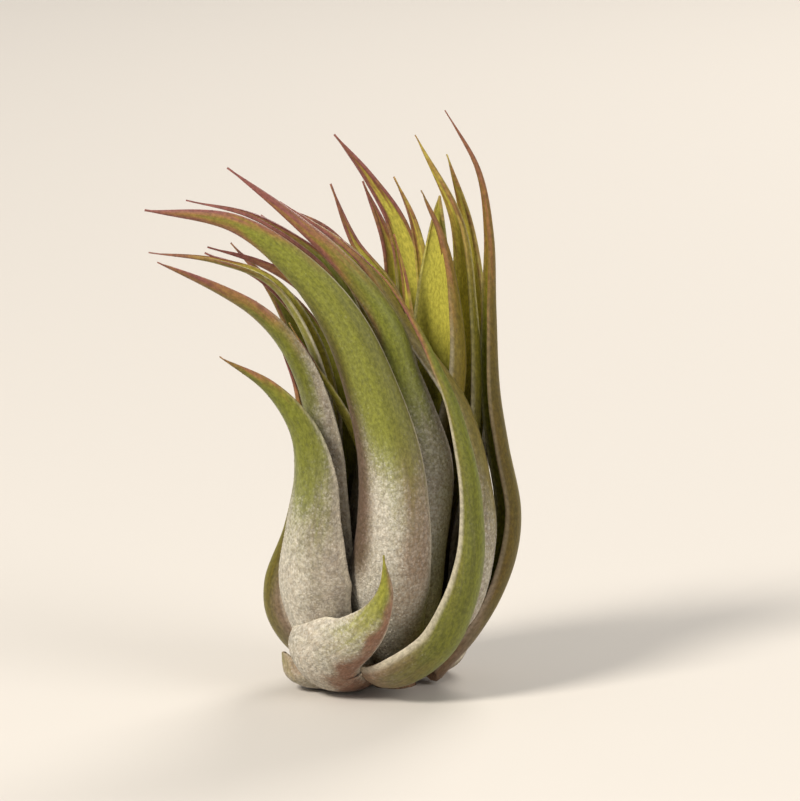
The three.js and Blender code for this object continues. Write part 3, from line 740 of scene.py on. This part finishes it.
def leaf_skin(name, sheath, roughness, grains, veins):
    """Leaf tissue that turns from a scurfy sheath to a green blade and a blushed tip."""
    material, n, shader = new_material(name)
    place = n.attribute("place", "Vector")
    streaks = n.add("ShaderNodeGroup", dict(node_tree=veins), Place=place).outputs[0]
    uneven = n.times(n.math("SUBTRACT", streaks, 0.5), STREAKY_GREEN)
    green = n.remap(n.plus(n.attribute("green"), uneven), *GREEN_SHOWS)

    tissue = bare_tissue(n, place, sheath, green, streaks)
    colour, coat, coat_height = silvered(n, place, tissue, grains)

    mottle = n.noise(n.stretch(place, MOTTLE_STRETCH), MOTTLES_PER_MM, 2.0, 0.7)
    darkest = n.remap(green, 0.0, 1.0, SHEATH_MOTTLE[0], BLADE_MOTTLE[0])
    lightest = n.remap(green, 0.0, 1.0, SHEATH_MOTTLE[1], BLADE_MOTTLE[1])
    shade = n.remap(mottle, 0.25, 0.75, darkest, lightest)
    grey = n.add("ShaderNodeCombineColor", Red=shade, Green=shade, Blue=shade).outputs[0]
    colour = n.mix(1.0, colour, grey, "MULTIPLY")
    # Painted shade: darkens the flanks that neighbouring leaves shade.
    colour = n.mix(n.attribute("dusk"), colour, PAINTED_SHADE_COLOUR, "MULTIPLY")

    height = n.plus(coat_height, n.times(streaks, VEIN_RELIEF))
    bump = n.add("ShaderNodeBump", Strength=0.5, Distance=RELIEF * MM, Height=height)
    n.feed(shader.inputs["Base Color"], colour)
    n.feed(shader.inputs["Roughness"], n.remap(coat, 0.0, 1.0, roughness, SCURFY_ROUGHNESS))
    n.feed(shader.inputs["Normal"], bump.outputs["Normal"])
    shader.inputs["Specular IOR Level"].default_value = LEAF_SHINE
    shader.inputs["Sheen Weight"].default_value = FUZZ
    shader.inputs["Sheen Roughness"].default_value = FUZZ_ROUGHNESS
    return material


def dry_stem():
    """Brown, fibrous stem tissue with paler torn fibres."""
    material, n, shader = new_material("dry stem")
    place = n.add("ShaderNodeTexCoord").outputs["Object"]
    fibres_per_m = (2600.0, 2600.0, 380.0)  # fine across, and drawn out upwards
    fibres = n.noise(n.stretch(place, fibres_per_m), 1.0, 4.0, 0.65)
    colour = n.mix(n.remap(fibres, 0.3, 0.7), STEM_BROWN, STEM_FIBRE)
    bump = n.add("ShaderNodeBump", Strength=0.7, Distance=0.2 * MM, Height=fibres)
    n.feed(shader.inputs["Base Color"], colour)
    n.feed(shader.inputs["Roughness"], n.remap(fibres, 0.3, 0.7, 0.95, 0.75))
    n.feed(shader.inputs["Normal"], bump.outputs["Normal"])
    return material


# ------------------------------------------------------------------ pieces
def finished(piece, node):
    """Turns live modifiers into a plain mesh and hands the piece over for its solid."""
    graph = bpy.context.evaluated_depsgraph_get()
    mesh = bpy.data.meshes.new_from_object(piece.evaluated_get(graph), depsgraph=graph,
                                           preserve_all_data_layers=True)
    piece.modifiers.clear()
    piece.data = mesh
    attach(piece, "root")
    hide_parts(node)


def add_object(name, data):
    thing = bpy.data.objects.new(name, data)
    bpy.context.scene.collection.objects.link(thing)
    return thing


def set_input(modifier, label, value):
    """Sets a modifier's input by its label."""
    items = modifier.node_group.interface.items_tree
    modifier[next(i.identifier for i in items if i.name == label and i.in_out == "INPUT")] = value


def settle_scales(mesh):
    """Gives each scale a patch of the bake's map, at its spot, and keeps it out of the ground."""
    marks = np.empty(len(mesh.vertices), np.float32)
    mesh.attributes["trichome"].data.foreach_get("value", marks)
    corner = np.cumsum(marks > 0) % (SCALE_SIDES + 1) * (marks > 0)
    turn = corner * 2 * math.pi / SCALE_SIDES
    patch = np.stack([np.cos(turn) / BAKE_WIDTH, np.sin(turn) / BAKE_LENGTH], 1)
    patch *= SCALE_RADIUS * (corner > 0)[:, None]
    of_loop = np.empty(len(mesh.loops), np.int32)
    mesh.loops.foreach_get("vertex_index", of_loop)
    uv = np.empty(2 * len(mesh.loops), np.float32)
    layer = mesh.uv_layers[BAKE_MAP].uv
    layer.foreach_get("vector", uv)
    layer.foreach_set("vector", (uv + patch[of_loop].ravel()).astype(np.float32))
    for vertex in mesh.vertices:
        vertex.co.z = max(vertex.co.z, 0.0)


def make_leaf(name, spec, seed, coat, skins):
    """One leaf with its coat of scales, which the seed places."""
    piece = add_object(name.replace("leaf", "leaf_blade"), leaf_mesh(name + "_skin", spec, seed))
    modifier = piece.modifiers.new("trichomes", "NODES")
    modifier.node_group = coat
    set_input(modifier, "Seed", seed)
    set_input(modifier, "Skin", skins[spec["slot"]])
    finished(piece, name)
    settle_scales(piece.data)


def make_stem():
    """The stem: a fibrous cone with the scars of old leaves, flat where it stands."""
    verts = []
    for i in range(STEM_RINGS + 1):
        height = STEM_HEIGHT * i / STEM_RINGS
        if height < STEM_FOOT_HEIGHT:
            radius = lerp(STEM_FOOT_RADIUS, STEM_RADIUS, smooth(0, STEM_FOOT_HEIGHT, height))
        else:
            radius = lerp(STEM_RADIUS, STEM_TOP_RADIUS, through(STEM_NARROWS, height / STEM_HEIGHT))
        scar = SCAR_DEPTH * abs(math.sin(height * SCAR_WAVE))
        for j in range(STEM_SIDES):
            turn = 2 * math.pi * j / STEM_SIDES
            x, y = math.cos(turn), math.sin(turn)
            spot = x * STEM_NOISE_RADIUS, y * STEM_NOISE_RADIUS, height * STEM_NOISE_PER_MM
            r = radius - scar + STEM_FIBRES * noise.noise(Vector(spot)) - STEM_INSET
            verts.append(Vector((r * x, r * y, height)) * MM)
    last = STEM_RINGS * STEM_SIDES
    faces = []
    for i in range(0, last, STEM_SIDES):
        for j in range(STEM_SIDES):
            k = (j + 1) % STEM_SIDES
            faces.append((i + j, i + k, i + STEM_SIDES + k, i + STEM_SIDES + j))
    faces.append(tuple(reversed(range(STEM_SIDES))))
    faces.append(tuple(last + j for j in range(STEM_SIDES)))
    mesh = bpy.data.meshes.new("stem_core")
    mesh.from_pydata(verts, [], faces)
    mesh.shade_smooth()
    mesh.materials.append(dry_stem())
    finished(add_object("stem_core", mesh), "stem")


def make_plant():
    veins, grains, coat = parallel_veins(), grain_of_scurf(), trichome_coat()
    skins = {slot: leaf_skin(*finish, grains, veins) for slot, finish in SKINS.items()}
    for seed, (name, spec) in enumerate(LEAVES.items(), start=1):
        make_leaf(name, spec, seed, coat, skins)
    make_stem()


# ------------------------------------------------------------------ set: floor, light, camera
FLOOR_HALF = 4.0  # so large that its edges are out of sight
LIT_SPOT = (0, 0, 0.035)  # what the lamps point at
LAMPS = {  # for each its place, how wide it is across, its power and its colour
    "key": ((-0.68, -0.56, 0.82), 0.35, 15.5, (1, 0.95, 0.87)),
    "fill": ((0.8, -0.5, 0.5), 0.8, 5.4, (1, 0.97, 0.92)),
    "rim": ((0.35, 0.8, 0.7), 0.5, 7, (1, 0.95, 0.88)),
}
ROOM_COLOUR, ROOM_STRENGTH = (0.86, 0.88, 0.92, 1), 0.35


def make_floor():
    corners = [(-FLOOR_HALF, -FLOOR_HALF, 0), (FLOOR_HALF, -FLOOR_HALF, 0),
               (FLOOR_HALF, FLOOR_HALF, 0), (-FLOOR_HALF, FLOOR_HALF, 0)]
    mesh = bpy.data.meshes.new("floor")
    mesh.from_pydata(corners, [], [(0, 1, 2, 3)])
    material, _, shader = new_material("pale floor")
    shader.inputs["Base Color"].default_value = FLOOR_COLOUR
    shader.inputs["Roughness"].default_value = 0.8
    mesh.materials.append(material)
    add_object("floor", mesh)


def aim(thing, place, target):
    """Puts a lamp or the camera in its place, looking at a target."""
    thing.location = place
    thing.rotation_euler = (Vector(target) - Vector(place)).to_track_quat("-Z", "Y").to_euler()


def make_lights():
    for name, (place, size, power, colour) in LAMPS.items():
        lamp = bpy.data.lights.new(name, "AREA")
        lamp.shape = "DISK"
        lamp.size = size
        lamp.energy = power
        lamp.color = colour
        aim(add_object(name, lamp), place, LIT_SPOT)
    world = bpy.data.worlds.new("studio")
    world.use_nodes = True
    background = world.node_tree.nodes["Background"]
    background.inputs["Color"].default_value = ROOM_COLOUR
    background.inputs["Strength"].default_value = ROOM_STRENGTH
    bpy.context.scene.world = world
    bpy.context.scene.view_settings.view_transform = "Standard"


# The camera stands 0.8 m off and looks down at the plant's foot at 14 degrees. It is turned to the
# middle of the picture, which is a little above the foot.
CAMERA_DISTANCE = 0.8
CAMERA_PITCH = math.radians(14)
PICTURE_WIDTH = 0.1094  # what the frame takes in, across, at that distance
PICTURE_MIDDLE = (0.0008, 0.0387)  # to the right of and above the origin, in the picture's plane


def make_camera():
    lens = bpy.data.cameras.new("camera")
    lens.sensor_width = 36
    lens.lens = lens.sensor_width * CAMERA_DISTANCE / PICTURE_WIDTH
    lens.clip_start = 0.01
    up = Vector((0, math.sin(CAMERA_PITCH), math.cos(CAMERA_PITCH)))
    place = Vector((0, -math.cos(CAMERA_PITCH), math.sin(CAMERA_PITCH))) * CAMERA_DISTANCE
    camera = add_object("camera", lens)
    aim(camera, place, Vector((PICTURE_MIDDLE[0], 0, 0)) + up * PICTURE_MIDDLE[1])
    bpy.context.scene.camera = camera


make_camera()
make_plant()
make_floor()
make_lights()
